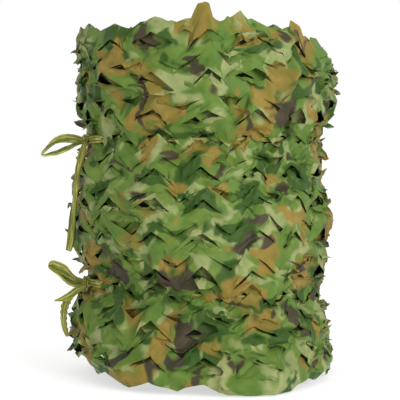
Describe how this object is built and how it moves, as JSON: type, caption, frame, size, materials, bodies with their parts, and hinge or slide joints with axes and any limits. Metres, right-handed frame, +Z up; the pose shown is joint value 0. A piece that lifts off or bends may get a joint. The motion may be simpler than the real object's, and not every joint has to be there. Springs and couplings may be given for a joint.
{
  "type": "camouflage net roll",
  "caption": "Camouflage net of printed cloth cut into leaf shapes, wound into a roll that stands on its end, held by knotted cloth ties.",
  "frame": {"origin": "centre of the flat spot that the roll stands on", "axes": "+Z up along the axis of the roll, -Y towards the viewer of the picture, -X towards the side with the knots"},
  "size_m": [0.3224, 0.2889, 0.3878],
  "materials": {
    "net_cloth": "printed polyester cloth in soft-edged green, sage, ochre and grey-brown patches, with a slight sheen",
    "tie_cloth": "olive yellow cut cloth strip, slight sheen"
  },
  "bodies": {
    "root": {"net_roll": "net_cloth", "tie_upper": "tie_cloth", "tie_lower": "tie_cloth"}
  },
  "joints": []
}
